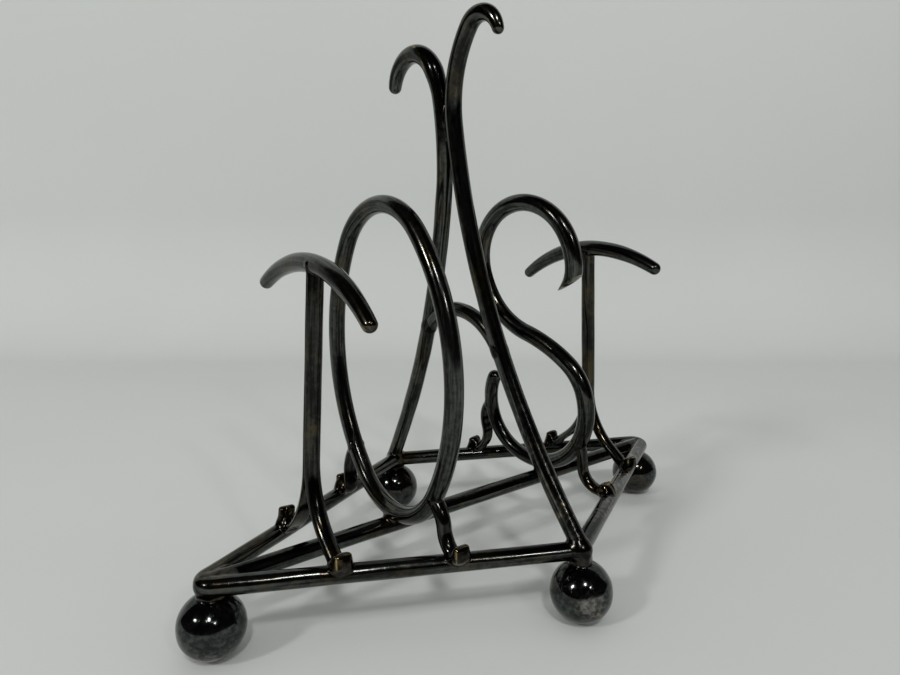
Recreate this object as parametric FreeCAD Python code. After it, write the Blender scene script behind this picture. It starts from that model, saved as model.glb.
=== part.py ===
"""Wire toast rack: a rhombus base frame on four ball feet, carrying five bent-wire dividers.

Frame of the part: origin on the standing surface under the middle of the base, +Z up,
+X along the long diagonal towards the last T, +Y along the short diagonal to the left
of a reader who faces the dividers from the first T.
Every divider is drawn in its own upright plane as (y, z) and then leaned and turned.
All sizes are in millimetres and all angles in degrees. A path of wire is a list of
bends, each a centreline radius and a turn, to the left if positive; where the turn is 0
the first number is the length of a straight stretch.
"""
import FreeCAD, Part
import math
import os

V = FreeCAD.Vector
ORIGIN = V(0, 0, 0)
ALONG_X = V(1, 0, 0)
ALONG_Y = V(0, 1, 0)
ALONG_Z = V(0, 0, 1)

# ---------------------------------------------------------------- driving dimensions
BALL_D = 14.9              # ball feet
BALL_FLAT_DEPTH = 0.1      # flat worn under each ball
BALL_X = 73.5              # ball feet on the long diagonal
BALL_Y = 40.0              # ball feet on the short diagonal
SEAT_GAP = 0.2             # solder film between a ball and the rail above it
COLLAR_BOTTOM_R = 3.7      # solder collar round each ball's top
COLLAR_TOP_R = 3.2
COLLAR_H = 1.6
COLLAR_LAP = 0.5           # how far the collar wets up the rail
SEAT_R = 1.8               # solder seats of the O and the S on the spine
SEAT_H = 2.0
SEAT_LAP = 1.0             # how far a seat wets down the spine
O_SEAT_Y = -1.2
S_SEAT_Y = 0.2

RAIL_D = 4.3               # round wire of the base frame
NOSE_X = 77.5              # where the rails' centrelines would cross at the sharp corners
CORNER_Y = 39.0            # and at the blunt corners
NOSE_BEND_R = 2.4          # centreline radius of the bend at a sharp corner

STRIP_D = 4.0              # half-round strip: width, and twice its thickness
TIP_CURL_R = 2.8           # turned-up tips of all the strip feet, on the flat side
TIP_CURL = 95.0            # angle of that turn
TIP_WASTE = 0.3            # how far past a strip its rounded tip's cutter reaches

FIRST_T = {"x": -50.0, "lean": 3.4, "turn": 0.0}
O_DIVIDER = {"x": -27.2, "lean": 0.0, "turn": 0.0}
A_DIVIDER = {"x": 0.0, "lean": -5.0, "turn": 0.0}
S_DIVIDER = {"x": 27.0, "lean": -5.5, "turn": 5.0}
LAST_T = {"x": 48.7, "lean": -3.1, "turn": 0.0}

T_TOP_Z = 84.0             # top of a T's post, inside its crossbar
T_SPLAY_R = 22.0           # bend by which each strip leaves the post
T_SPLAY = 52.0             # and its angle
T_BAR_D = 4.6              # crossbar thickness at the post
T_BAR_TIP_D = 3.4          # and at its ends
FIRST_BAR = {"y": 1.3, "z": 84.1, "radius": 42.3, "right": 37.4, "left": 35.5, "tilt": 4.6}
LAST_BAR = {"y": 1.3, "z": 85.2, "radius": 47.8, "right": 30.9, "left": 30.9, "tilt": -4.6}

# Where a strip foot comes level: its distance from the long diagonal, how far below the
# rail's top, and the length of the straight end that then stands up.
FIRST_T_LANDING = {"right": (13.6, 0.1, 0.3), "left": (10.9, 1.2, 2.6)}
LAST_T_LANDING = {"right": (14.5, 0.1, 0.5), "left": (14.1, 0.1, 0.5)}
O_LANDING = {"right": (26.4, 0.4, 0.5), "left": (22.6, 0.7, 1.6)}
S_LANDING = {"right": (21.6, 1.2, 0.5), "left": (26.2, 0.15, 0.5)}

O_WIRE_D = 4.4
O_SEMI_Z = 38.1            # oval ring, on the wire's centreline
O_SEMI_Y = 25.7
O_END_R = 19.5             # radius of the ring's top and bottom
O_CENTRE_Z = 59.3
O_TILT = -6.1              # turn of the oval in its own plane
O_RIGHT_START = -133.0     # headings in which the feet leave the ring
O_RIGHT_BENDS = [(2, 0), (7, 32), (9, 4), (7, -48), (TIP_CURL_R, -35)]
O_LEFT_START = -132.0
O_LEFT_BENDS = [(18, 20), (10, 30), (1.5, 0), (3, -63), (TIP_CURL_R, -35)]

S_WIRE_D = 4.8
S_LOW_D = 4.2              # its thinner lower end
S_START = (-10.83, 73.04)  # rough end of the wire, before its top end is cut
S_START_HEADING = 122.3
S_START_RUN = 3.5
S_BENDS = [(11.1, -33.6), (17.0, -190.2), (22.3, -63.4), (42.8, 22.3), (13.8, 38.2)]
S_THINNING = (19.8, 115.5)
S_LOW_BEND = (15.9, 108.0)
S_CUT_AT = (-13.4, 77.5)   # the slanting cut of the top end
S_CUT_ANGLE = -32.4
S_RIGHT_START = -127.0
S_RIGHT_BENDS = [(8, 30), (12, 6), (3, 0), (6.5, -89)]
S_LEFT_START = -140.0
S_LEFT_BENDS = [(7, 40), (9, 25), (8, -70), (TIP_CURL_R, -35)]

A_WIRE_D = 4.3
A_LEFT_START = (40.1, 17.9)
A_LEFT_HEADING = 123.3
A_LEFT_RUN = 2.0
A_LEFT_BENDS = [(307, -6.5), (211, -15.0), (68.4, -18.6)]
A_LEFT_SWELL = (20.9, -17.9)
A_LEFT_CURL = (9.5, -137.6)
A_LEFT_CURL_D = 4.9        # thickness where the curl begins
A_LEFT_TIP_D = 3.4
A_RIGHT_START = (-39.8, 17.7)
A_RIGHT_HEADING = 54.0
A_RIGHT_RUN = 2.0
A_RIGHT_BENDS = [(212, 9.8), (172, 17.0), (205.3, 5.0)]
A_RIGHT_SWELL = (27.6, 48.5)
A_RIGHT_CURL = (5.7, 120.6)
A_RIGHT_CURL_D = 4.2
A_RIGHT_TIP_D = 2.8
A_BAR_D = 3.9
A_BAR_START = (-14.5, 61.3)
A_BAR_HEADING = 62.0
A_BAR_BEND = (17.5, -112.0)

TAPER_STEPS = 6            # sections in a tapered bend

# ---------------------------------------------------------------- derived sizes
BALL_R = BALL_D / 2
BALL_Z = BALL_R - BALL_FLAT_DEPTH
RAIL_R = RAIL_D / 2
STRIP_R = STRIP_D / 2
FRAME_Z = BALL_Z + BALL_R + SEAT_GAP + RAIL_R      # height of the frame's centrelines
RAIL_TOP = FRAME_Z + RAIL_R


# ---------------------------------------------------------------- bent wire
def run(length):
    """A straight stretch of wire: its length and how far it turns."""
    return length, 0.0


def bend(radius, turn):
    """A bent stretch: its centreline length and how far it turns."""
    return radius * math.radians(abs(turn)), turn


def bends(path):
    """A whole path as stretches."""
    return [bend(size, turn) if turn else run(size) for size, turn in path]


def round_section(diameter):
    """Round wire, seen along +Y."""
    circle = Part.Circle(ORIGIN, ALONG_Y, diameter / 2)
    return Part.Face(Part.Wire(circle.toShape()))


def half_round_section():
    """Half-round strip seen along +Y: flat face on the path, round face to its right."""
    arc = Part.Arc(V(-STRIP_R, 0, 0), V(0, 0, -STRIP_R), V(STRIP_R, 0, 0))
    flat = Part.LineSegment(V(STRIP_R, 0, 0), V(-STRIP_R, 0, 0))
    return Part.Face(Part.Wire([arc.toShape(), flat.toShape()]))


def step(y, z, heading, length, turn):
    """Where a stretch of wire that starts at (y, z) ends, and its heading there."""
    middle = math.radians(heading + turn / 2)
    half = math.radians(turn / 2)
    chord = length * (math.sin(half) / half if half else 1.0)
    return y + chord * math.cos(middle), z + chord * math.sin(middle), heading + turn


def walk(y, z, heading, stretches):
    """Follow a list of stretches and return the end point and the end heading."""
    for length, turn in stretches:
        y, z, heading = step(y, z, heading, length, turn)
    return y, z, heading


def sweep(section, start, heading, stretches):
    """Carry a section through runs and tangent bends in the plane x = 0, as one solid."""
    y, z = start
    pieces = []
    for length, turn in stretches:
        face = section.copy()
        face.rotate(ORIGIN, ALONG_X, heading)
        face.translate(V(0, y, z))
        direction = math.radians(heading)
        if turn:
            radius = length / math.radians(turn)
            centre = V(0, y - radius * math.sin(direction), z + radius * math.cos(direction))
            pieces.append(face.revolve(centre, ALONG_X, turn))
        else:
            pieces.append(face.extrude(V(0, math.cos(direction), math.sin(direction)) * length))
        y, z, heading = step(y, z, heading, length, turn)
    if len(pieces) == 1:
        return pieces[0]
    return pieces[0].multiFuse(pieces[1:])


def tapered_bend(start, heading, radius_and_turn, first_d, last_d):
    """A bend of round wire whose thickness changes faster and faster towards its far end."""
    length, turn = bend(*radius_and_turn)
    sections = []
    for index in range(TAPER_STEPS + 1):
        share = index / TAPER_STEPS
        y, z, direction = step(*start, heading, share * length, share * turn)
        direction = math.radians(direction)
        along = V(0, math.cos(direction), math.sin(direction))
        diameter = first_d + (last_d - first_d) * share ** 2
        sections.append(Part.Wire(Part.Circle(V(0, y, z), along, diameter / 2).toShape()))
    return Part.makeLoft(sections, True, False)


def round_end(diameter, y, z):
    """The hemisphere that closes a wire's end, as a whole ball to be fused with it."""
    return Part.makeSphere(diameter / 2, V(0, y, z))


def stand(shape, divider):
    """Lean and turn a divider about its foot line and put it in its place on the frame."""
    placed = shape.copy()
    placed.rotate(V(0, 0, FRAME_Z), ALONG_Y, divider["lean"])
    placed.rotate(V(0, 0, FRAME_Z), ALONG_Z, divider["turn"])
    placed.translate(V(divider["x"], 0, 0))
    return placed


def opposite(shape):
    """The same piece on the other side of the long diagonal."""
    return shape.mirror(ORIGIN, ALONG_Y)


def largest_solid(shape):
    """The piece itself, without the crumbs that a coped end can leave."""
    return max(shape.Solids, key=lambda solid: solid.Volume)


# ---------------------------------------------------------------- base frame
def base_rail():
    """One wire bent round the sharp corner at +X, mitred at both blunt corners."""
    angle = math.degrees(math.atan(CORNER_Y / NOSE_X))
    tangent = NOSE_BEND_R / math.tan(math.radians(angle))
    leg = run(math.hypot(NOSE_X, CORNER_Y) - tangent + RAIL_D)
    start_x, start_y, _ = walk(0, -CORNER_Y, angle + 180, [run(RAIL_D)])
    path = [leg, bend(NOSE_BEND_R, 180 - 2 * angle), leg]
    rail = sweep(round_section(RAIL_D), (start_x, start_y), angle, path)
    rail.rotate(ORIGIN, V(1, 1, 1), 240)
    rail.translate(V(0, 0, FRAME_Z))
    mitre_box = Part.makeBox(2 * NOSE_X, 4 * CORNER_Y, 2 * FRAME_Z, V(0, -2 * CORNER_Y, 0))
    return largest_solid(rail.common(mitre_box))


def spine_rod(rails):
    """Straight wire along the long diagonal, coped into both bent corners."""
    rod = Part.makeCylinder(RAIL_R, 2 * NOSE_X, V(-NOSE_X, 0, FRAME_Z), ALONG_X)
    return largest_solid(rod.cut(rails))


def ball_foot(x, y):
    """Solid ball with the small flat that it has worn underneath."""
    ball = Part.makeSphere(BALL_R, V(x, y, BALL_Z))
    below = Part.makeBox(BALL_D, BALL_D, BALL_R, V(x - BALL_R, y - BALL_R, -BALL_R))
    return largest_solid(ball.cut(below))


def foot_collar(x, y, ball, above):
    """Solder collar that seats a ball under the rails, shaped by what it touches."""
    bottom = V(x, y, FRAME_Z - RAIL_R + COLLAR_LAP - COLLAR_H)
    cone = Part.makeCone(COLLAR_BOTTOM_R, COLLAR_TOP_R, COLLAR_H, bottom)
    return largest_solid(cone.cut([ball] + above))


def solder_seat(divider, y, spine, letter):
    """Pad of solder between the spine and the bottom of a letter."""
    bottom = V(divider["x"], y, RAIL_TOP - SEAT_LAP)
    pad = Part.makeCylinder(SEAT_R, SEAT_H, bottom, ALONG_Z)
    return largest_solid(pad.cut([spine, letter]))


# ---------------------------------------------------------------- strip feet
def strip_foot(landing, stretches, heading):
    """Half-round strip that comes down on the -Y rail and turns up in a rounded tip.

    The path is the strip's flat face. The last of the stretches brings it level at the
    landing, whatever they are, so the start is found by walking them.
    """
    out, sink, rise = landing
    level_y, level_z = -out, RAIL_TOP - sink
    dy, dz, level = walk(0, 0, heading, stretches)
    start = (level_y - dy, level_z - dz)
    tip = [bend(TIP_CURL_R, -TIP_CURL), run(rise)]
    strip = sweep(half_round_section(), start, heading, stretches + tip)
    return strip.cut(tip_waste(*walk(level_y, level_z, level, tip)))


def tip_waste(y, z, heading):
    """What is filed away to round a strip's tip across its width."""
    bottom = -STRIP_R - TIP_WASTE
    depth = TIP_WASTE - bottom
    block = Part.makeBox(2 * STRIP_D, STRIP_R, depth, V(-STRIP_D, -STRIP_R, bottom))
    rounding = Part.makeCylinder(STRIP_R, depth, V(0, -STRIP_R, bottom), ALONG_Z)
    waste = block.cut(rounding)
    waste.rotate(ORIGIN, ALONG_X, heading)
    waste.translate(V(0, y, z))
    return waste


def feet(landing, right_start, right_bends, left_start, left_bends):
    """The right and left foot of a letter, by side."""
    right = strip_foot(landing["right"], bends(right_bends), right_start)
    left = strip_foot(landing["left"], bends(left_bends), left_start)
    return {"right": right, "left": opposite(left)}


def t_upright(landing):
    """Right-hand strip of a T: straight down the post, then splayed out to the rail."""
    out, sink, _ = landing
    splay_angle = math.radians(T_SPLAY)
    bends_reach = T_SPLAY_R * (1 - math.cos(splay_angle))
    curl_reach = TIP_CURL_R * math.cos(splay_angle)
    slant = (out - bends_reach - curl_reach) / math.sin(splay_angle)
    splay = [bend(T_SPLAY_R, -T_SPLAY), run(slant), bend(TIP_CURL_R, T_SPLAY - 90)]
    _, drop, _ = walk(0, 0, -90, splay)
    post = run(T_TOP_Z - (RAIL_TOP - sink - drop))
    return strip_foot(landing, [post] + splay, -90)


def t_crossbar(bar):
    """Crescent: thickest at the post, tapering along its arc to a round tip at each end."""
    halves = []
    for angle in (bar["right"], bar["left"]):
        arc = (bar["radius"], -angle)
        half = tapered_bend((0, 0), 0, arc, T_BAR_D, T_BAR_TIP_D)
        tip_y, tip_z, _ = step(0, 0, 0, *bend(*arc))
        halves.append(half.fuse(round_end(T_BAR_TIP_D, tip_y, tip_z)))
    whole = opposite(halves[0]).fuse(halves[1])
    whole.rotate(ORIGIN, ALONG_X, bar["tilt"])
    whole.translate(V(0, bar["y"], bar["z"]))
    return largest_solid(whole)


# ---------------------------------------------------------------- letters
def o_ring():
    """Oval ring of four tangent arcs, tilted a little in its own plane."""
    side_r = ((O_SEMI_Z - O_END_R) ** 2 / (O_SEMI_Y - O_END_R) + O_END_R + O_SEMI_Y) / 2
    side_half = math.degrees(math.asin((O_SEMI_Z - O_END_R) / (side_r - O_END_R)))
    half_end = bend(O_END_R, 90 - side_half)
    end = bend(O_END_R, 2 * (90 - side_half))
    side = bend(side_r, 2 * side_half)
    ring = sweep(round_section(O_WIRE_D), (0, -O_SEMI_Z), 0,
                 [half_end, side, end, side, half_end])
    ring.rotate(ORIGIN, ALONG_X, O_TILT)
    ring.translate(V(0, 0, O_CENTRE_Z))
    return ring


def s_wire():
    """The S, from its slant-cut top end over the top, across, and round to the lower end."""
    path = [run(S_START_RUN)] + bends(S_BENDS)
    wire = sweep(round_section(S_WIRE_D), S_START, S_START_HEADING, path)
    y, z, heading = walk(*S_START, S_START_HEADING, path)
    thinning = tapered_bend((y, z), heading, S_THINNING, S_WIRE_D, S_LOW_D)
    y, z, heading = step(y, z, heading, *bend(*S_THINNING))
    low = sweep(round_section(S_LOW_D), (y, z), heading, [bend(*S_LOW_BEND)])
    y, z, _ = step(y, z, heading, *bend(*S_LOW_BEND))
    wire = wire.multiFuse([thinning, low, round_end(S_LOW_D, y, z)])
    size = 4 * S_WIRE_D
    waste = Part.makeBox(size, size, size, V(-size / 2, -size / 2, -size))
    waste.rotate(ORIGIN, ALONG_X, S_CUT_ANGLE)
    waste.translate(V(0, *S_CUT_AT))
    return wire.cut(waste)


def a_leg(start, heading, straight, path, swell, curl, curl_d, tip_d):
    """A leg of the A, from the blunt corner up; it curls over and thins to a tip."""
    stretches = [run(straight)] + bends(path)
    leg = sweep(round_section(A_WIRE_D), start, heading, stretches)
    y, z, heading = walk(*start, heading, stretches)
    swollen = tapered_bend((y, z), heading, swell, A_WIRE_D, curl_d)
    y, z, heading = step(y, z, heading, *bend(*swell))
    curled = tapered_bend((y, z), heading, curl, curl_d, tip_d)
    y, z, _ = step(y, z, heading, *bend(*curl))
    return leg.multiFuse([swollen, curled, round_end(tip_d, y, z)])


def a_crossbar():
    """Arched wire between the A's legs; its ends run into the legs and are coped there."""
    return sweep(round_section(A_BAR_D), A_BAR_START, A_BAR_HEADING, [bend(*A_BAR_BEND)])


# ---------------------------------------------------------------- assembly
def build():
    """Every node of the rack by name, cut so that neighbours meet face to face."""
    nodes = {}
    nodes["base_rail_last_t"] = base_rail()
    nodes["base_rail_first_t"] = base_rail().mirror(ORIGIN, ALONG_X)
    rails = [nodes["base_rail_last_t"], nodes["base_rail_first_t"]]
    nodes["spine_rod"] = spine_rod(rails)
    frame = rails + [nodes["spine_rod"]]

    right = a_leg(A_RIGHT_START, A_RIGHT_HEADING, A_RIGHT_RUN, A_RIGHT_BENDS,
                  A_RIGHT_SWELL, A_RIGHT_CURL, A_RIGHT_CURL_D, A_RIGHT_TIP_D)
    left = a_leg(A_LEFT_START, A_LEFT_HEADING, A_LEFT_RUN, A_LEFT_BENDS,
                 A_LEFT_SWELL, A_LEFT_CURL, A_LEFT_CURL_D, A_LEFT_TIP_D)
    right = largest_solid(stand(right, A_DIVIDER).cut(rails))
    left = largest_solid(stand(left, A_DIVIDER).cut(rails + [right]))
    legs = [right, left]
    nodes["a_leg_right"] = right
    nodes["a_leg_left"] = left
    nodes["a_crossbar"] = largest_solid(stand(a_crossbar(), A_DIVIDER).cut(legs))

    corners = {"first_t": (-BALL_X, 0), "last_t": (BALL_X, 0),
               "left": (0, BALL_Y), "right": (0, -BALL_Y)}
    for corner, (x, y) in corners.items():
        ball = ball_foot(x, y)
        nodes["ball_foot_" + corner] = ball
        nodes["foot_collar_" + corner] = foot_collar(x, y, ball, frame + legs)

    nodes["o_ring"] = largest_solid(stand(o_ring(), O_DIVIDER).cut(frame))
    nodes["s_wire"] = largest_solid(stand(s_wire(), S_DIVIDER).cut(frame))
    nodes["o_seat"] = solder_seat(O_DIVIDER, O_SEAT_Y, nodes["spine_rod"], nodes["o_ring"])
    nodes["s_seat"] = solder_seat(S_DIVIDER, S_SEAT_Y, nodes["spine_rod"], nodes["s_wire"])
    o_feet = feet(O_LANDING, O_RIGHT_START, O_RIGHT_BENDS, O_LEFT_START, O_LEFT_BENDS)
    s_feet = feet(S_LANDING, S_RIGHT_START, S_RIGHT_BENDS, S_LEFT_START, S_LEFT_BENDS)
    for name, divider, pair, above in (("o", O_DIVIDER, o_feet, nodes["o_ring"]),
                                       ("s", S_DIVIDER, s_feet, nodes["s_wire"])):
        for side, foot in pair.items():
            cut_foot = stand(foot, divider).cut(frame + [above])
            nodes[name + "_foot_" + side] = largest_solid(cut_foot)

    for name, divider, bar, landing in (("first_t", FIRST_T, FIRST_BAR, FIRST_T_LANDING),
                                        ("last_t", LAST_T, LAST_BAR, LAST_T_LANDING)):
        bar = stand(t_crossbar(bar), divider)
        nodes[name + "_crossbar"] = bar
        strips = {"right": t_upright(landing["right"]),
                  "left": opposite(t_upright(landing["left"]))}
        for side, strip in strips.items():
            cut_strip = stand(strip, divider).cut(frame + [bar])
            nodes[name + "_upright_" + side] = largest_solid(cut_strip)
    return nodes


def main():
    """Write each node as its own STEP file."""
    os.makedirs("parts", exist_ok=True)
    for name, shape in build().items():
        shape.exportStep("parts/" + name + ".step")


main()
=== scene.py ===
"""Look of the wire toast rack: bent and soldered wire under a dark, worn silver plate.

Every wire, strip and ball is rebuilt here on the CAD model's own dimensions, with the
small wobbles of handwork, and every soldered joint gets its fillet. Shapes are worked
out in millimetres and handed to Blender in metres.
"""
import math

import bmesh
import bpy
import numpy as np
from mathutils import Matrix, Vector


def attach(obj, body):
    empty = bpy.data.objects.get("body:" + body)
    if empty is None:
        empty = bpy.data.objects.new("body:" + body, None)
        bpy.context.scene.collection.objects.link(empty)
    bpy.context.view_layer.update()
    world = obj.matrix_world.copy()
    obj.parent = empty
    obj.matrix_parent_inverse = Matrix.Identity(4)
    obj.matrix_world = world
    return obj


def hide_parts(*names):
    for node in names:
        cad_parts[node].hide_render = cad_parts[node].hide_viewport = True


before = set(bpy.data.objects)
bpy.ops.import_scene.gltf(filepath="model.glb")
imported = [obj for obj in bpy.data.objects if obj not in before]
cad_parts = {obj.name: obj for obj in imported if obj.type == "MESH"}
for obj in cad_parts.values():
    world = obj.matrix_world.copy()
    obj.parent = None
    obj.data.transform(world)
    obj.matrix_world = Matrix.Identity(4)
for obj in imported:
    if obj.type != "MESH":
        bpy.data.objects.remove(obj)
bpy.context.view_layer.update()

MM = 0.001

# ---------------------------------------------------------------- dimensions, as the CAD
BALL_R = 7.45
BALL_FLAT_DEPTH = 0.1
BALL_X = 73.5
BALL_Y = 40.0
SEAT_GAP = 0.2

RAIL_D = 4.3
NOSE_X = 77.5
CORNER_Y = 39.0
NOSE_BEND_R = 2.4
SPINE_HALF = NOSE_X - 0.75 * RAIL_D
NOSE_JOINT_X = NOSE_X - 2.2 * RAIL_D

STRIP_R = 2.0
TIP_CURL_R = 2.8
TIP_CURL = 95.0

FIRST_T = {"x": -50.0, "lean": 3.4, "turn": 0.0}
O_DIVIDER = {"x": -27.2, "lean": 0.0, "turn": 0.0}
A_DIVIDER = {"x": 0.0, "lean": -5.0, "turn": 0.0}
S_DIVIDER = {"x": 27.0, "lean": -5.5, "turn": 5.0}
LAST_T = {"x": 48.7, "lean": -3.1, "turn": 0.0}

T_TOP_Z = 84.0
T_SPLAY_R = 22.0
T_SPLAY = 52.0
T_BAR_D = 4.6
T_BAR_TIP_D = 3.4
FIRST_BAR = {"y": 1.3, "z": 84.1, "radius": 42.3, "right": 37.4, "left": 35.5, "tilt": 4.6}
LAST_BAR = {"y": 1.3, "z": 85.2, "radius": 47.8, "right": 30.9, "left": 30.9, "tilt": -4.6}
FIRST_T_LANDING = {"right": (13.6, 0.1, 0.3), "left": (10.9, 1.2, 2.6)}
LAST_T_LANDING = {"right": (14.5, 0.1, 0.5), "left": (14.1, 0.1, 0.5)}
O_LANDING = {"right": (26.4, 0.4, 0.5), "left": (22.6, 0.7, 1.6)}
S_LANDING = {"right": (21.6, 1.2, 0.5), "left": (26.2, 0.15, 0.5)}

O_WIRE_D = 4.4
O_SEMI_Z = 38.1
O_SEMI_Y = 25.7
O_END_R = 19.5
O_CENTRE_Z = 59.3
O_TILT = -6.1
O_RIGHT = (-133.0, [(2, 0), (7, 32), (9, 4), (7, -48), (TIP_CURL_R, -35)])
O_LEFT = (-132.0, [(18, 20), (10, 30), (1.5, 0), (3, -63), (TIP_CURL_R, -35)])

S_WIRE_D = 4.8
S_LOW_D = 4.2
S_START = (-10.83, 73.04)
S_START_HEADING = 122.3
S_START_RUN = 3.5
S_BENDS = [(11.1, -33.6), (17.0, -190.2), (22.3, -63.4), (42.8, 22.3), (13.8, 38.2)]
S_THINNING = (19.8, 115.5)
S_LOW_BEND = (15.9, 108.0)
S_CUT_AT = (-13.4, 77.5)
S_CUT_ANGLE = -32.4
S_CUT_NEAR = 2.2 * S_WIRE_D
S_RIGHT = (-127.0, [(8, 30), (12, 6), (3, 0), (6.5, -89)])
S_LEFT = (-140.0, [(7, 40), (9, 25), (8, -70), (TIP_CURL_R, -35)])

A_WIRE_D = 4.3
A_RUN = 2.0
A_LEFT = ((40.1, 17.9), 123.3, [(307, -6.5), (211, -15.0), (68.4, -18.6)],
          (20.9, -17.9), (9.5, -137.6), 4.9, 3.4)
A_RIGHT = ((-39.8, 17.7), 54.0, [(212, 9.8), (172, 17.0), (205.3, 5.0)],
           (27.6, 48.5), (5.7, 120.6), 4.2, 2.8)
A_BAR_D = 3.9
A_BAR = ((-14.5, 61.3), 62.0, (17.5, -112.0))

RAIL_R = RAIL_D / 2
BALL_Z = BALL_R - BALL_FLAT_DEPTH
FRAME_Z = BALL_Z + BALL_R + SEAT_GAP + RAIL_R
RAIL_TOP = FRAME_Z + RAIL_R

# ---------------------------------------------------------------- fineness of the meshes
STEP = 0.5                 # longest ring spacing along a wire
TURN_STEP = 3.0            # and the most that it turns between two rings, in degrees
ROUND_SIDES = 32
CAP_RINGS = 7
TIP_RINGS = 9              # rings over a strip's tip
TIP_TURN = 86.0            # how far round the last of them lies, in degrees
TIP_POLE = 0.02            # rise of the tip's very end past it
STRIP_EDGE_R = 0.28        # rounding of a half-round strip's two edges
EDGE_POINTS = 6            # points round such an edge, and over the round side
BELLY_POINTS = 25
FLAT_SHARES = (-0.6, 0.0, 0.6)
TOE_WIDTH = 4.3            # block that each strip foot ends in
TOE_DEPTH = 1.8
TOE_OVER = 0.08            # how far it covers the strip's own tip
TOE_EDGE_R = 0.8
TOE_RIM_IN = TOE_EDGE_R / 3
TOE_REACH = 5.6
TOE_FLOW = 3.2
CUT_DOME = 0.45            # rise of the S's filed end over its rim
CUT_RINGS = (0.94, 0.82, 0.6, 0.3)
NO_RIM = 9.0               # rim distance of pieces without a brassy edge
FAR_AWAY = 1e3
BALL_RINGS = 56
BALL_SIDES = 112
SOLDER_PITCH = 0.17        # grid on which the solder's surface is found
SOLDER_SINK = 0.05         # how far it dives under the wires where it ends
SOLDER_FULL = 1.25         # keeps its full flow over the middle fifth of its reach
THINNEST = 1e-3
LUMPS = 4                  # waves of unevenness in it, and how many to the millimetre
LUMP_WAVES = 1.1
COARSE = 4                 # fine grid steps in one step of the first, rough look
NEAR_SURFACE = 1.2         # rough steps within which the field is looked at finely
NUDGE = SOLDER_PITCH / 8   # step that the field's slope is measured over
LEAST_STEEP = 0.2

# ---------------------------------------------------------------- unevenness, in mm
WIRE_WOBBLE = 0.09
STRIP_WOBBLE = 0.12
BALL_WOBBLE = 0.12
SOLDER_LUMPS = 0.06        # as a share of the solder's flow
WOBBLES = 7                # waves in a piece's unevenness
WOBBLE_WAVES = (9, 46)     # their shortest and longest
WOBBLE_FOLDS = 4           # and fewer than this many to a turn


# ---------------------------------------------------------------- paths of bent wire
def stretch(size, turn, first_d, last_d=None):
    """A run (turn 0, size its length) or bend (size its radius): length, turn, diameters."""
    length = size * math.radians(abs(turn)) if turn else size
    return length, turn, first_d, first_d if last_d is None else last_d


def stretches(path, diameter):
    """A path of one thickness."""
    return [stretch(size, turn, diameter) for size, turn in path]


def step(y, z, heading, length, turn):
    """Where a stretch that starts at (y, z) ends, and its heading there."""
    middle = math.radians(heading + turn / 2)
    half = math.radians(turn / 2)
    chord = length * (math.sin(half) / half if half else 1.0)
    return y + chord * math.cos(middle), z + chord * math.sin(middle), heading + turn


def trace(start, heading, path):
    """Rows of length so far, y, z, heading and radius along a path, closely spaced."""
    y, z = start
    so_far = 0.0
    rows = [(0.0, y, z, heading, path[0][2] / 2)]
    for length, turn, first_d, last_d in path:
        count = max(1, math.ceil(length / STEP), math.ceil(abs(turn) / TURN_STEP))
        for share in np.linspace(0, 1, count + 1)[1:]:
            point = step(y, z, heading, share * length, share * turn)
            radius = (first_d + (last_d - first_d) * share ** 2) / 2
            rows.append((so_far + share * length, *point, radius))
        so_far += length
        y, z, heading = rows[-1][1:4]
    return np.array(rows)


def walk(y, z, heading, path):
    """End point and end heading of a path."""
    for length, turn, _, _ in path:
        y, z, heading = step(y, z, heading, length, turn)
    return y, z, heading


def turned(axis, angle):
    return np.array(Matrix.Rotation(math.radians(angle), 4, axis))


def moved(x, y, z):
    return np.array(Matrix.Translation((x, y, z)))


def stand(divider):
    """From a divider's own upright plane to its place on the frame."""
    foot = moved(0, 0, FRAME_Z)
    lean = foot @ turned("Y", divider["lean"]) @ np.linalg.inv(foot)
    return moved(divider["x"], 0, 0) @ turned("Z", divider["turn"]) @ lean


OPPOSITE = np.diag([1.0, -1.0, 1.0, 1.0])
END_FOR_END = np.diag([-1.0, 1.0, 1.0, 1.0])
LAID_FLAT = moved(0, 0, FRAME_Z) @ np.array([[0, 1, 0, 0], [0, 0, 1, 0],
                                             [1, 0, 0, 0], [0, 0, 0, 1.0]])


class Wire:
    """A bent wire or half-round strip in space: centreline, frames and radii, in mm."""

    def __init__(self, rows, matrix, strip=False):
        heading = np.radians(rows[:, 3])
        none = np.zeros(len(rows))
        turn = matrix[:3, :3].T
        self.length = rows[:, 0]
        self.radius = rows[:, 4]
        self.centre = np.stack([none, rows[:, 1], rows[:, 2]], 1) @ turn + matrix[:3, 3]
        self.along = np.stack([none, np.cos(heading), np.sin(heading)], 1) @ turn
        self.up = np.stack([none, -np.sin(heading), np.cos(heading)], 1) @ turn
        self.side = np.tile([1.0, 0, 0], (len(rows), 1)) @ turn
        self.strip = strip

    def distance(self, points, about, reach):
        """Distance from each point to the wire's surface, in a ball about a place."""
        near = np.linalg.norm(self.centre - about, axis=1) < reach + 2 * RAIL_D
        nearest = np.full(len(points), FAR_AWAY)
        for row in np.flatnonzero(near[:-1]):
            first, span = self.centre[row], self.centre[row + 1] - self.centre[row]
            share = np.clip((points - first) @ span / (span @ span), 0, 1)
            off = points - first - share[:, None] * span
            gap = np.linalg.norm(off, axis=1) - self.radius[row]
            if self.strip:
                gap = np.maximum(gap, off @ self.up[row])
            nearest = np.minimum(nearest, gap)
        if self.strip:
            before = (self.centre[0] - points) @ self.along[0]
            nearest = np.maximum(nearest, np.minimum(before, STRIP_R))
        return nearest


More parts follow.
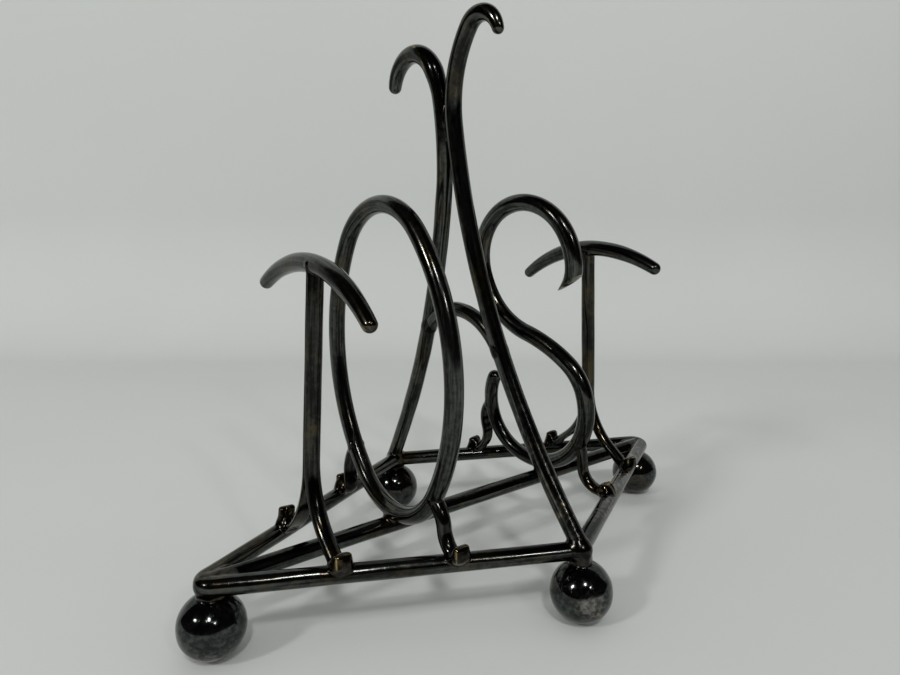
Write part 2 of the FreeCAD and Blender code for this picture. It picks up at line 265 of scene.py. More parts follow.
class Toe:
    """The blunt toe that a strip foot is beaten into: a block with rounded edges."""

    def __init__(self, wire):
        self.axes = np.stack([wire.side[-1], wire.up[-1], wire.along[-1]])
        tall = (wire.centre[-1] - wire.body.centre[-1]) @ wire.along[-1] + 2 * TOE_OVER
        self.half = np.array([TOE_WIDTH, TOE_DEPTH, tall]) / 2
        self.centre = wire.centre[-1] - (self.half - TOE_OVER)[1:] @ self.axes[1:]

    def distance(self, points, about, reach):
        beyond = np.abs((points - self.centre) @ self.axes.T) - self.half + TOE_EDGE_R
        outside = np.linalg.norm(np.maximum(beyond, 0), axis=1)
        return outside + np.minimum(beyond.max(1), 0) - TOE_EDGE_R

    def rim(self, points):
        """Distance from the edge round the toe's outward face, its foot left out."""
        across, out, tall = ((points - self.centre) @ self.axes.T).T
        wide, deep, high = self.half
        aside = np.minimum(wide - np.abs(across), high - tall)
        return np.hypot(deep - TOE_RIM_IN - out, aside - TOE_RIM_IN)


class Ball:
    """A ball foot, as a neighbour of the solder round it."""

    def __init__(self, centre):
        self.centre = np.array([centre], float)

    def distance(self, points, about, reach):
        return np.linalg.norm(points - self.centre, axis=1) - BALL_R


def closest(first, second):
    """Midpoint of two wires' centrelines where they come nearest."""
    apart = np.linalg.norm(first.centre[:, None] - second.centre[None], axis=2)
    here, there = np.unravel_index(apart.argmin(), apart.shape)
    return (first.centre[here] + second.centre[there]) / 2


# ---------------------------------------------------------------- surfaces and meshes
def wobble(name, along, around, amount):
    """Smooth unevenness of handwork, from waves of several lengths; around is an angle."""
    rng = np.random.default_rng(sum(map(ord, name)))
    total = 0.0
    for _ in range(WOBBLES):
        wave = rng.uniform(*WOBBLE_WAVES)
        folds = rng.integers(0, WOBBLE_FOLDS)
        total = total + np.sin(math.tau * (along / wave + rng.random()) + folds * around)
    return total * amount / WOBBLES


def surface(rings, closed):
    """Quads and end fans over a grid of rings; the last two points are the end poles."""
    count, sides = rings
    faces = []
    for ring in range(count if closed else count - 1):
        here, there = ring * sides, (ring + 1) % count * sides
        for side in range(sides):
            after = (side + 1) % sides
            faces.append((here + side, here + after, there + after, there + side))
    if not closed:
        first_pole, last_pole = count * sides, count * sides + 1
        last = (count - 1) * sides
        for side in range(sides):
            after = (side + 1) % sides
            faces.append((first_pole, after, side))
            faces.append((last_pole, last + side, last + after))
    return faces


def make_mesh(name, points, faces, grain, rim=None):
    """A smooth closed mesh in metres, with its grain and its distance from a worn rim."""
    mesh = bpy.data.meshes.new(name)
    mesh.from_pydata((points * MM).tolist(), [], faces)
    mesh.attributes.new("grain", "FLOAT_VECTOR", "POINT").data.foreach_set(
        "vector", np.asarray(grain, np.float32).ravel())
    rim = np.full(len(points), NO_RIM) if rim is None else rim
    mesh.attributes.new("rim", "FLOAT", "POINT").data.foreach_set(
        "value", np.asarray(rim, np.float32))
    tidy = bmesh.new()
    tidy.from_mesh(mesh)
    bmesh.ops.recalc_face_normals(tidy, faces=tidy.faces)
    tidy.to_mesh(mesh)
    tidy.free()
    mesh.shade_smooth()
    return mesh


def spots(points, places):
    """How strongly each point is marked by a list of spots: place, size and strength."""
    total = np.zeros(len(points))
    for place, size, strength in places:
        away = (points - np.array(place)) / np.array(size)
        total += strength * np.exp(-(away ** 2).sum(1))
    return total


def add_piece(name, mesh, material, nodes=()):
    """Put a piece in the scene: marks of wear and painted reflection, finish, body, nodes it
    shows.
    """
    points = np.empty(len(mesh.vertices) * 3, np.float32)
    mesh.vertices.foreach_get("co", points)
    points = points.reshape(-1, 3) / MM
    for mark, places in (("wear_and_reflection", WEAR_AND_REFLECTION), ("brass", BRASS)):
        amount = spots(points, places.get(name, []))
        mesh.attributes.new(mark, "FLOAT", "POINT").data.foreach_set(
            "value", amount.astype(np.float32))
    piece = bpy.data.objects.new("look_" + name, mesh)
    bpy.context.collection.objects.link(piece)
    mesh.materials.append(material)
    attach(piece, "root")
    if nodes:
        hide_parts(*nodes)


def round_wire(name, wire, round_first=False, round_last=False, closed=False):
    """Round wire with its small unevenness, closed by half balls or flat ends."""
    centre, along, up, side = wire.centre, wire.along, wire.up, wire.side
    radius, length = wire.radius, wire.length
    if closed:
        centre, along, up, side, radius, length = [
            values[:-1] for values in (centre, along, up, side, radius, length)]
    angle = np.arange(ROUND_SIDES) / ROUND_SIDES * math.tau
    uneven = 0.0
    if not closed:
        uneven = wobble(name, length[:, None], angle[None], WIRE_WOBBLE)
    thick = radius[:, None] + uneven
    rings = (centre[:, None]
             + (thick * np.cos(angle))[..., None] * side[:, None]
             + (thick * np.sin(angle))[..., None] * up[:, None])
    stations = list(length)
    blocks = [rings]
    for last, rounded in ((False, round_first), (True, round_last)):
        if closed or not rounded:
            continue
        row = -1 if last else 0
        sign = 1 if last else -1
        lift = np.linspace(0, math.pi / 2, CAP_RINGS + 1)[1:-1]
        cap = [centre[row] + (rings[row] - centre[row]) * math.cos(rise)
               + sign * along[row] * radius[row] * math.sin(rise) for rise in lift]
        cap_at = [length[row] + sign * radius[row] * math.sin(rise) for rise in lift]
        if last:
            blocks.append(np.array(cap))
            stations = stations + cap_at
        else:
            blocks.insert(0, np.array(cap[::-1]))
            stations = cap_at[::-1] + stations
    rings = np.concatenate(blocks)
    points = rings.reshape(-1, 3)
    grain = np.stack(np.broadcast_arrays(
        np.array(stations)[:, None], RAIL_R * np.cos(angle)[None],
        RAIL_R * np.sin(angle)[None]), 2).reshape(-1, 3)
    if not closed:
        poles = [centre[0] - along[0] * radius[0] * round_first,
                 centre[-1] + along[-1] * radius[-1] * round_last]
        points = np.concatenate([points, poles])
        grain = np.concatenate([grain, [[stations[0], 0, 0], [stations[-1], 0, 0]]])
    rim = None
    if name in RIDGES:
        first_at, first_turn, last_at, last_turn = RIDGES[name]
        at, turn = np.array(stations)[:, None], np.degrees(angle)[None]
        share = (at - first_at) / (last_at - first_at)
        apart = np.radians(turn - first_turn - share * (last_turn - first_turn))
        beyond = np.abs(at - np.clip(at, *sorted((first_at, last_at))))
        rim = np.hypot(apart * RAIL_R, beyond).ravel()
        rim = np.concatenate([rim, [NO_RIM, NO_RIM]])
    return make_mesh(name, points, surface(rings.shape[:2], closed), grain, rim)


def strip_section():
    """Half-round outline with eased edges: across, and depth on the round side."""
    reach = math.sqrt((STRIP_R - STRIP_EDGE_R) ** 2 - STRIP_EDGE_R ** 2)
    lean = math.asin(STRIP_EDGE_R / (STRIP_R - STRIP_EDGE_R))
    easing = np.linspace(-math.pi / 2, lean, EDGE_POINTS)
    belly = np.linspace(lean, math.pi - lean, BELLY_POINTS)[1:-1]
    right = [(reach + STRIP_EDGE_R * math.cos(a), STRIP_EDGE_R * (1 + math.sin(a)))
             for a in easing]
    round_face = [(STRIP_R * math.cos(a), STRIP_R * math.sin(a)) for a in belly]
    left = [(-across, depth) for across, depth in right[::-1]]
    flat = [(reach * share, 0.0) for share in FLAT_SHARES]
    return np.array(right + round_face + left + flat)


def strip_wire(name, wire):
    """Half-round strip whose far end is filed to a rounded tip."""
    total = wire.length[-1]
    body = wire.length < total - STRIP_R - STEP / 2
    lift = np.linspace(0, math.radians(TIP_TURN), TIP_RINGS)
    tip_at = total - STRIP_R + STRIP_R * np.sin(lift)
    at = np.concatenate([wire.length[body], tip_at])
    width = np.concatenate([np.ones(body.sum()), np.cos(lift)])
    depth = np.sqrt(width)
    rows = [np.stack([np.interp(at, wire.length, values[:, axis]) for axis in range(3)], 1)
            for values in (wire.centre, wire.up, wire.side, wire.along)]
    centre, up, side, along = rows
    section = strip_section()
    around = np.arctan2(section[:, 1], section[:, 0])
    uneven = wobble(name, at[:, None], around[None], STRIP_WOBBLE)
    across = section[None, :, 0] * width[:, None]
    deep = section[None, :, 1] * depth[:, None] + (STRIP_R * (1 - depth) / 2)[:, None]
    rings = (centre[:, None] + across[..., None] * side[:, None]
             - (deep + uneven)[..., None] * up[:, None])
    grain = np.stack(np.broadcast_arrays(
        at[:, None], section[None, :, 0], section[None, :, 1]), 2).reshape(-1, 3)
    poles = [rings[0].mean(0), rings[-1].mean(0) + along[-1] * TIP_POLE]
    points = np.concatenate([rings.reshape(-1, 3), poles])
    grain = np.concatenate([grain, [[at[0], 0, 0], [at[-1], 0, 0]]])
    return make_mesh(name, points, surface(rings.shape[:2], False), grain)


def trim(mesh, place, normal, within):
    """Saw a wire off with a plane near one place, and dome the filed cut a little."""
    work = bmesh.new()
    work.from_mesh(mesh)
    place, normal = Vector(place) * MM, Vector(normal)
    near = [v for v in work.verts if (v.co - place).length < within * MM]
    faces = {face for vert in near for face in vert.link_faces}
    edges = {edge for face in faces for edge in face.edges}
    verts = {vert for face in faces for vert in face.verts}
    cut = bmesh.ops.bisect_plane(work, geom=list(verts | edges | faces), plane_co=place,
                                 plane_no=normal, clear_outer=True)
    rim = [item for item in cut["geom_cut"] if isinstance(item, bmesh.types.BMEdge)]
    face = bmesh.ops.edgeloop_fill(work, edges=rim)["faces"][0]
    ring = list(face.verts)
    middle = face.calc_center_median()
    bmesh.ops.delete(work, geom=[face], context="FACES_ONLY")
    grain, rim = (work.verts.layers.float_vector["grain"], work.verts.layers.float["rim"])
    outline = [(vert.co.copy(), vert[grain].copy()) for vert in ring]
    for vert in ring:
        vert[rim] = 0
    for share in CUT_RINGS:
        rise = normal * CUT_DOME * MM * (1 - share ** 2)
        inner = []
        for place, marks in outline:
            vert = work.verts.new(middle.lerp(place, share) + rise)
            vert[grain], vert[rim] = marks, (1 - share) * RAIL_R
            inner.append(vert)
        for side in range(len(ring)):
            work.faces.new((ring[side - 1], ring[side], inner[side], inner[side - 1]))
        ring = inner
    work.faces.new(ring)
    bmesh.ops.recalc_face_normals(work, faces=work.faces)
    work.to_mesh(mesh)
    work.free()
    mesh.shade_smooth()


def ball_mesh(name, centre):
    """Ball foot: a little uneven, with the flat that it has worn underneath."""
    rise = np.linspace(-math.pi / 2, math.pi / 2, BALL_RINGS + 2)[1:-1]
    angle = np.arange(BALL_SIDES) / BALL_SIDES * math.tau
    out = np.stack(np.broadcast_arrays(
        np.cos(rise)[:, None] * np.cos(angle), np.cos(rise)[:, None] * np.sin(angle),
        np.sin(rise)[:, None]), 2)
    uneven = wobble(name, rise[:, None] * BALL_R * 2, angle[None], BALL_WOBBLE)
    out = out * (BALL_R - np.abs(uneven) * np.cos(rise)[:, None])[..., None]
    points = np.concatenate([out.reshape(-1, 3), [[0, 0, -BALL_R], [0, 0, BALL_R]]])
    points = points + np.array(centre)
    points[:, 2] = np.maximum(points[:, 2], 0)
    return make_mesh(name, points, surface(out.shape[:2], False), points)


# ---------------------------------------------------------------- solder
def surface_net(field, low, pitch):
    """Vertices and quads of a gridded field's zero surface."""
    inside = field < 0
    cells = np.array(field.shape) - 1
    total = np.zeros((*cells, 3))
    count = np.zeros(cells)
    grid = np.stack(np.meshgrid(*[np.arange(n) for n in field.shape], indexing="ij"), 3)
    crossings = []
    for axis in range(3):
        low_end = [slice(None)] * 3
        high_end = [slice(None)] * 3
        low_end[axis], high_end[axis] = slice(None, -1), slice(1, None)
        low_end, high_end = tuple(low_end), tuple(high_end)
        crossed = inside[low_end] != inside[high_end]
        crossings.append(crossed)
        drop = np.where(crossed, field[low_end] - field[high_end], 1.0)
        place = grid[low_end].astype(float)
        place[..., axis] += np.where(crossed, field[low_end] / drop, 0)
        place *= crossed[..., None]
        others = [other for other in range(3) if other != axis]
        for first in (0, 1):
            for second in (0, 1):
                part = [slice(None)] * 3
                part[others[0]] = slice(first, first + cells[others[0]])
                part[others[1]] = slice(second, second + cells[others[1]])
                total += place[tuple(part)]
                count += crossed[tuple(part)]
    used = count > 0
    number = np.full(cells, -1)
    number[used] = np.arange(used.sum())
    points = total[used] / count[used][:, None] * pitch + low
    faces = []
    for axis, crossed in enumerate(crossings):
        first, second = [other for other in range(3) if other != axis]
        edge = np.argwhere(crossed)
        corners = []
        for back_first, back_second in ((1, 1), (0, 1), (0, 0), (1, 0)):
            cell = edge.copy()
            cell[:, first] -= back_first
            cell[:, second] -= back_second
            corners.append(number[tuple(cell.T)])
        faces.append(np.stack(corners, 1))
    return points, np.concatenate(faces)


def solder(name, about, reach, flow, members, nodes=()):
    """Fillet of solder: the smooth union of its neighbours, fading out at its reach."""
    about = np.array(about, float)

    def height(points):
        away = np.linalg.norm(points - about, axis=1)
        fade = np.clip(SOLDER_FULL * (1 - away / reach), 0, 1)
        lumps = sum(np.sin(points @ wave + start) for wave, start in waves)
        width = np.maximum(flow * fade * fade * (3 - 2 * fade), THINNEST)
        width = width * (1 + SOLDER_LUMPS * lumps)
        whole = members[0].distance(points, about, reach)
        for member in members[1:]:
            other = member.distance(points, about, reach)
            lap = np.maximum(width - np.abs(whole - other), 0) / width
            whole = np.minimum(whole, other) - lap * lap * width / 4
        return np.maximum(whole + SOLDER_SINK, away - reach)

    rng = np.random.default_rng(sum(map(ord, name)))
    waves = [(rng.normal(size=3) * LUMP_WAVES, rng.uniform(0, math.tau))
             for _ in range(LUMPS)]
    blocks = math.ceil((reach / SOLDER_PITCH + 2) / COARSE)
    ticks = np.arange(-blocks * COARSE, blocks * COARSE + 1) * SOLDER_PITCH
    grid = np.stack(np.meshgrid(*[ticks + about[axis] for axis in range(3)],
                                indexing="ij"), 3)
    rough = grid[::COARSE, ::COARSE, ::COARSE]
    rough = height(rough.reshape(-1, 3)).reshape(rough.shape[:3])
    nearest = (np.arange(len(ticks)) + COARSE // 2) // COARSE
    field = rough[np.ix_(nearest, nearest, nearest)]
    close = np.abs(field) < COARSE * SOLDER_PITCH * NEAR_SURFACE
    field[close] = height(grid[close])
    points, faces = surface_net(field, grid[0, 0, 0], SOLDER_PITCH)
    here = height(points)
    slope = np.stack([(height(points + NUDGE * axis) - here) / NUDGE
                      for axis in np.eye(3)], 1)
    steep = np.maximum((slope ** 2).sum(1), LEAST_STEEP)
    points = points - (here / steep)[:, None] * slope
    toes = [member.rim(points) for member in members if isinstance(member, Toe)]
    mesh = make_mesh(name, points, faces.tolist(), points, toes[0] if toes else None)
    add_piece(name, mesh, MATERIALS["solder"], nodes)


# ---------------------------------------------------------------- materials
def put(tree, kind, inputs=None, **settings):
    """Add a shader node; an input is either a value or another node's socket."""
    made = tree.nodes.new("ShaderNode" + kind)
    for key, value in settings.items():
        setattr(made, key, value)
    for key, value in (inputs or {}).items():
        if isinstance(value, bpy.types.NodeSocket):
            tree.links.new(value, made.inputs[key])
        else:
            made.inputs[key].default_value = value
    return made


def mix(tree, factor, first, second):
    """Blend two colours by a socket or number."""
    inputs = {0: factor}
    for key, colour in ((6, first), (7, second)):
        inputs[key] = colour if isinstance(colour, bpy.types.NodeSocket) else (*colour, 1.0)
    return put(tree, "Mix", inputs, data_type="RGBA").outputs[2]


def ramp(tree, value, low, high, first=0.0, last=1.0):
    """Smooth step of a value from one number to another."""
    return put(tree, "MapRange", {"Value": value, "From Min": low, "From Max": high,
                                  "To Min": first, "To Max": last},
               interpolation_type="SMOOTHSTEP").outputs[0]


def sums(tree, *terms):
    """Sum of (socket, weight) pairs."""
    total = None
    for socket, weight in terms:
        inputs = {0: socket, 1: weight, 2: total if total is not None else 0.0}
        total = put(tree, "Math", inputs, operation="MULTIPLY_ADD").outputs[0]
    return total


def noise(tree, place, scale, detail, rough=0.55):
    """Fractal noise; the scale is in waves per unit of place."""
    return put(tree, "TexNoise", {"Vector": place, "Scale": scale, "Detail": detail,
                                  "Roughness": rough}).outputs[0]


def plate(name, dark, grey, brown, brown_share, streaks, rough, pitting):
    """Tarnished silver plate: streaked along the wire, mottled, rubbed bright in places, and
    lighter where a floor reflection is painted on.
    """
    material = bpy.data.materials.new(name)
    material.use_nodes = True
    tree = material.node_tree
    tree.nodes.clear()
    own = put(tree, "TexCoord").outputs["Object"]
    place = put(tree, "VectorMath", {0: own, 3: 1 / MM}, operation="SCALE").outputs[0]
    grain = put(tree, "Attribute", attribute_name="grain").outputs["Vector"]
    drawn = put(tree, "VectorMath", {0: grain, 1: STREAK_SCALE},
                operation="MULTIPLY").outputs[0]
    wear_and_reflection = put(tree, "Attribute", attribute_name="wear_and_reflection").outputs["Fac"]
    brass = put(tree, "Attribute", attribute_name="brass").outputs["Fac"]
    streak = noise(tree, drawn, 1.0, 5.0, 0.6)
    cloud = noise(tree, place, CLOUD_SCALE, 3.0)
    mottle = noise(tree, place, MOTTLE_SCALE, 6.0, 0.66)
    speck = noise(tree, place, SPECK_SCALE, 3.0)

    tone = sums(tree, (streak, streaks), (mottle, 1 - streaks))
    colour = mix(tree, ramp(tree, tone, *TONE_RANGE), dark, grey)
    stained = sums(tree, (cloud, 1.0), (mottle, 0.35))
    colour = mix(tree, ramp(tree, stained, *STAIN_RANGE, 0.0, brown_share), colour, brown)
    pits = ramp(tree, speck, *PIT_RANGE, 0.0, pitting)
    # bare silver where rubbed by wear; on the front ball's lower half this silver is a
    # painted reflection of the pale floor
    rub_and_reflection = sums(tree, (wear_and_reflection, 1.0), (mottle, 0.8), (streak, 0.5))
    rub_and_reflection = ramp(tree, rub_and_reflection, *RUB_AND_REFLECTION_RANGE)
    silver = mix(tree, ramp(tree, mottle, *SILVER_RANGE), RUB_AND_REFLECTION_DULL, RUB_AND_REFLECTION_BRIGHT)
    colour = mix(tree, rub_and_reflection, colour, silver)
    gilt = sums(tree, (brass, 1.0), (mottle, 1.2), (streak, 0.4))
    gilt = ramp(tree, gilt, *GILT_RANGE)
    colour = mix(tree, gilt, colour, BRASSY)
    edge = put(tree, "Attribute", attribute_name="rim").outputs["Fac"]
    edge = ramp(tree, sums(tree, (edge, 1.0), (mottle, 0.6)), *RIM_RANGE, 1.0, 0.0)
    colour = mix(tree, edge, colour, BRASSY)
    colour = mix(tree, pits, colour, PIT)

    shine = sums(tree, (mottle, 0.16), (streak, 0.08), (rub_and_reflection, 0.18), (pits, 0.2))
    shine = put(tree, "Math", {0: shine, 1: rough - SHINE_MEAN}, operation="ADD").outputs[0]
    height = sums(tree, (mottle, 0.5), (streak, 0.35), (pits, -0.5), (speck, 0.15))
    bump = put(tree, "Bump", {"Height": height, "Distance": BUMP_HEIGHT * MM,
                              "Strength": BUMP_STRENGTH}).outputs[0]
    shader = put(tree, "BsdfPrincipled", {"Base Color": colour, "Roughness": shine,
                                          "Normal": bump, "Metallic": 1.0})
    output = put(tree, "OutputMaterial")
    tree.links.new(shader.outputs[0], output.inputs["Surface"])
    return material


def backdrop(name, pale, shade):
    """Matt card with a faint unevenness."""
    material = bpy.data.materials.new(name)
    material.use_nodes = True
    tree = material.node_tree
    tree.nodes.clear()
    own = put(tree, "TexCoord").outputs["Object"]
    cloud = noise(tree, own, CARD_CLOUDS, 3.0)
    colour = mix(tree, ramp(tree, cloud, *CARD_RANGE), pale, shade)
    shader = put(tree, "BsdfPrincipled", {"Base Color": colour, "Roughness": CARD_ROUGH,
                                          "Specular IOR Level": CARD_SHEEN})
    output = put(tree, "OutputMaterial")
    tree.links.new(shader.outputs[0], output.inputs["Surface"])
    return material


STREAK_SCALE = (0.045, 1.1, 1.1)   # waves per mm along a wire and across it
CLOUD_SCALE = 0.12                 # and of the other noises, in any direction
MOTTLE_SCALE = 0.7
SPECK_SCALE = 2.4
SHINE_MEAN = 0.12                  # what the noise adds to the roughness on average
BUMP_HEIGHT = 0.05
BUMP_STRENGTH = 0.35
# where each mark begins and where it is full; the rim's fades the other way round
TONE_RANGE = (0.42, 0.64)
STAIN_RANGE = (0.66, 0.86)
PIT_RANGE = (0.6, 0.7)
RUB_AND_REFLECTION_RANGE = (0.9, 1.5)
SILVER_RANGE = (0.4, 0.62)
GILT_RANGE = (1.15, 1.5)
RIM_RANGE = (0.3, 0.6)
# silver of rubbed wear, also used for the painted floor reflection on the front ball
RUB_AND_REFLECTION_DULL = (0.15, 0.145, 0.14)
RUB_AND_REFLECTION_BRIGHT = (0.32, 0.30, 0.285)
BRASSY = (0.42, 0.32, 0.13)
PIT = (0.02, 0.018, 0.015)

MATERIALS = {
    "wire": plate("tarnished_wire", (0.018, 0.019, 0.018), (0.10, 0.108, 0.10),
                  (0.11, 0.082, 0.045), brown_share=0.3, streaks=0.75, rough=0.15,
                  pitting=0.4),
    "strip": plate("tarnished_strip", (0.014, 0.015, 0.014), (0.062, 0.063, 0.056),
                   (0.11, 0.08, 0.04), brown_share=0.4, streaks=0.75, rough=0.15,
                   pitting=0.4),
    "ball": plate("tarnished_ball", (0.032, 0.036, 0.034), (0.09, 0.098, 0.094),
                  (0.075, 0.055, 0.04), brown_share=0.6, streaks=0.3, rough=0.1,
                  pitting=0.5),
    "solder": plate("solder", (0.013, 0.012, 0.011), (0.052, 0.049, 0.043),
                    (0.085, 0.06, 0.03), brown_share=0.5, streaks=0.3, rough=0.16,
                    pitting=0.5),
}

# ---------------------------------------------------------------- marks of use, and a painted reflection
# from one length and angle round a wire to another, where a forged edge shows brassy
RIDGES = {"a_leg_right": (133.6, 270.0, 141.5, 150.0),
          "a_leg_left": (121.5, 200.0, 131.6, 110.0)}
# place, size and strength, in mm in the object's frame
WEAR_AND_REFLECTION = {
    "a_leg_right": [((-4, -30, 42), (30, 30, 16), 0.35), ((-3, -38, 22), (9, 9, 9), 0.3)],
    "base_rail_last_t": [((52, -13, 20), (26, 16, 5), 0.6),
                         ((20, -30, 20), (20, 14, 5), 0.45)],
    "base_rail_first_t": [((-74, 0, 20), (9, 9, 3), 0.3)],
    "ball_foot_right": [((-3.5, -46, 8), (4, 4, 4), 0.7)],
    # painted reflection of the pale floor on the front ball's lower half, not wear
    "ball_foot_first_t": [((-76, -4, 1), (9, 9, 5.5), 0.5)],
}
BRASS = {
    "ball_foot_right": [((-2.2, -46.7, 5.5), (3, 3, 2.5), 0.42)],
    "base_rail_first_t": [((-77, 0, 18), (3.5, 3.5, 3), 0.45)],
    "base_rail_last_t": [((70, -2, 20), (10, 6, 4), 0.35)],
    "a_leg_right": [((-2, -37, 25), (8, 8, 7), 0.35)],
    "first_t_crossbar": [((-51, -23, 72), (4, 7, 6), 0.6)],
    "last_t_crossbar": [((46, -25, 74), (4, 6, 4), 0.6)],
}


# ---------------------------------------------------------------- the wires
def base_rail(matrix):
    """One wire bent round a sharp corner."""
    angle = math.degrees(math.atan(CORNER_Y / NOSE_X))
    tangent = NOSE_BEND_R / math.tan(math.radians(angle))
    leg = stretch(math.hypot(NOSE_X, CORNER_Y) - tangent, 0, RAIL_D)
    path = [leg, stretch(NOSE_BEND_R, 180 - 2 * angle, RAIL_D), leg]
    return Wire(trace((0, -CORNER_Y), angle, path), matrix @ LAID_FLAT)


def o_ring():
    """Oval ring of four tangent arcs."""
    side_r = ((O_SEMI_Z - O_END_R) ** 2 / (O_SEMI_Y - O_END_R) + O_END_R + O_SEMI_Y) / 2
    side_half = math.degrees(math.asin((O_SEMI_Z - O_END_R) / (side_r - O_END_R)))
    end_half = 90 - side_half
    path = stretches([(O_END_R, end_half), (side_r, 2 * side_half),
                      (O_END_R, 2 * end_half), (side_r, 2 * side_half),
                      (O_END_R, end_half)], O_WIRE_D)
    place = stand(O_DIVIDER) @ moved(0, 0, O_CENTRE_Z) @ turned("X", O_TILT)
    return Wire(trace((0, -O_SEMI_Z), 0, path), place)


def s_wire():
    """The S from its rough top end to its round lower end."""
    path = [stretch(S_START_RUN, 0, S_WIRE_D)] + stretches(S_BENDS, S_WIRE_D)
    path += [stretch(*S_THINNING, S_WIRE_D, S_LOW_D), stretch(*S_LOW_BEND, S_LOW_D)]
    return Wire(trace(S_START, S_START_HEADING, path), stand(S_DIVIDER))


def a_leg(start, heading, path, swell, curl, curl_d, tip_d):
    """A leg of the A with its swelling curl."""
    whole = [stretch(A_RUN, 0, A_WIRE_D)] + stretches(path, A_WIRE_D)
    whole += [stretch(*swell, A_WIRE_D, curl_d), stretch(*curl, curl_d, tip_d)]
    return Wire(trace(start, heading, whole), stand(A_DIVIDER))


def t_crossbar(bar, divider):
    """Crescent bar, thickest at the post."""
    halves = []
    for side in ("right", "left"):
        path = [stretch(bar["radius"], -bar[side], T_BAR_D, T_BAR_TIP_D)]
        halves.append(trace((0, 0), 0, path))
    right, left = halves
    right = right[:0:-1] * np.array([-1, -1, 1, -1, 1])
    place = stand(divider) @ moved(0, bar["y"], bar["z"]) @ turned("X", bar["tilt"])
    return Wire(np.concatenate([right, left]), place)


def strip_foot(landing, path, heading, matrix):
    """Strip that comes level on a rail and turns up in a tip; its path is its flat face."""
    out, sink, rise = landing
    dy, dz, _ = walk(0, 0, heading, path)
    start = (-out - dy, RAIL_TOP - sink - dz)
    tip = [stretch(TIP_CURL_R, -TIP_CURL, 2 * STRIP_R), stretch(rise, 0, 2 * STRIP_R)]
    wire = Wire(trace(start, heading, path + tip), matrix, strip=True)
    wire.body = Wire(trace(start, heading, path), matrix, strip=True)
    return wire


def t_upright(landing, matrix):
    """Strip down a T's post, then splayed out to the rail."""
    out, sink, _ = landing
    splay = math.radians(T_SPLAY)
    reach = T_SPLAY_R * (1 - math.cos(splay)) + TIP_CURL_R * math.cos(splay)
    slant = (out - reach) / math.sin(splay)
    path = stretches([(T_SPLAY_R, -T_SPLAY), (slant, 0), (TIP_CURL_R, T_SPLAY - 90)],
                     2 * STRIP_R)
    _, drop, _ = walk(0, 0, -90, path)
    post = stretch(T_TOP_Z - (RAIL_TOP - sink - drop), 0, 2 * STRIP_R)
    return strip_foot(landing, [post] + path, -90, matrix)


IDENTITY = np.eye(4)
SIDES = {"right": IDENTITY, "left": OPPOSITE}
CORNERS = {"first_t": (-BALL_X, 0), "last_t": (BALL_X, 0),
           "left": (0, BALL_Y), "right": (0, -BALL_Y)}

wires = {"base_rail_last_t": base_rail(IDENTITY),
         "base_rail_first_t": base_rail(END_FOR_END),
         "spine_rod": Wire(trace((-SPINE_HALF, 0), 0, [stretch(2 * SPINE_HALF, 0, RAIL_D)]),
                           LAID_FLAT),
         "a_leg_left": a_leg(*A_LEFT),
         "a_leg_right": a_leg(*A_RIGHT),
         "a_crossbar": Wire(trace(A_BAR[0], A_BAR[1], [stretch(*A_BAR[2], A_BAR_D)]),
                            stand(A_DIVIDER)),
         "o_ring": o_ring(),
         "s_wire": s_wire(),
         "first_t_crossbar": t_crossbar(FIRST_BAR, FIRST_T),
         "last_t_crossbar": t_crossbar(LAST_BAR, LAST_T)}
for letter, divider, landing, shapes in (
        ("o", O_DIVIDER, O_LANDING, {"right": O_RIGHT, "left": O_LEFT}),
        ("s", S_DIVIDER, S_LANDING, {"right": S_RIGHT, "left": S_LEFT})):
    for side, (heading, path) in shapes.items():
        wires[f"{letter}_foot_{side}"] = strip_foot(
            landing[side], stretches(path, 2 * STRIP_R), heading,
            stand(divider) @ SIDES[side])
for post, divider, landing in (("first_t", FIRST_T, FIRST_T_LANDING),
                               ("last_t", LAST_T, LAST_T_LANDING)):
    for side in SIDES:
        wires[f"{post}_upright_{side}"] = t_upright(landing[side],
                                                    stand(divider) @ SIDES[side])

ROUND_ENDS = {"a_leg_left": (False, True), "a_leg_right": (False, True),
              "s_wire": (False, True), "first_t_crossbar": (True, True),
              "last_t_crossbar": (True, True), "base_rail_first_t": (True, True),
              "base_rail_last_t": (True, True)}
for name, wire in wires.items():
    if wire.strip:
        mesh = strip_wire(name, wire)
    else:
        mesh = round_wire(name, wire, *ROUND_ENDS.get(name, (False, False)),
                          closed=name == "o_ring")
    if name == "s_wire":
        away = math.radians(S_CUT_ANGLE)
        place = stand(S_DIVIDER)
        at = place @ np.array([0, *S_CUT_AT, 1.0])
        facing = place[:3, :3] @ np.array([0, math.sin(away), -math.cos(away)])
        trim(mesh, at[:3], facing, S_CUT_NEAR)
    finish = MATERIALS["strip" if wire.strip else "wire"]
    add_piece(name, mesh, finish, [name])

balls = {}
for corner, (x, y) in CORNERS.items():
    name = "ball_foot_" + corner
    add_piece(name, ball_mesh(name, (x, y, BALL_Z)), MATERIALS["ball"], [name])
    balls[corner] = Ball((x, y, BALL_Z))

# ---------------------------------------------------------------- the solder
COLLAR = (5.5, 3.4)        # reach and flow, in mm
CORNER = (6.5, 2.6)
SEAT = (4.6, 2.4)
rails = [wires["base_rail_first_t"], wires["base_rail_last_t"]]
spine = wires["spine_rod"]
seat_z = FRAME_Z - RAIL_R
for corner, (x, y) in CORNERS.items():
    over = rails + ([wires["a_leg_" + corner]] if y else [spine])
    solder("foot_collar_" + corner, (x, y, seat_z), *COLLAR, [balls[corner]] + over,
           ["foot_collar_" + corner])
    if y:
        near = (0, math.copysign(CORNER_Y, y), FRAME_Z)
    else:
        near = (math.copysign(NOSE_JOINT_X, x), 0, FRAME_Z)
    solder("corner_" + corner, near, *CORNER, over)
for seat, name in (("o_seat", "o_ring"), ("s_seat", "s_wire")):
    solder(seat, closest(wires[name], spine), *SEAT, [wires[name], spine], [seat])

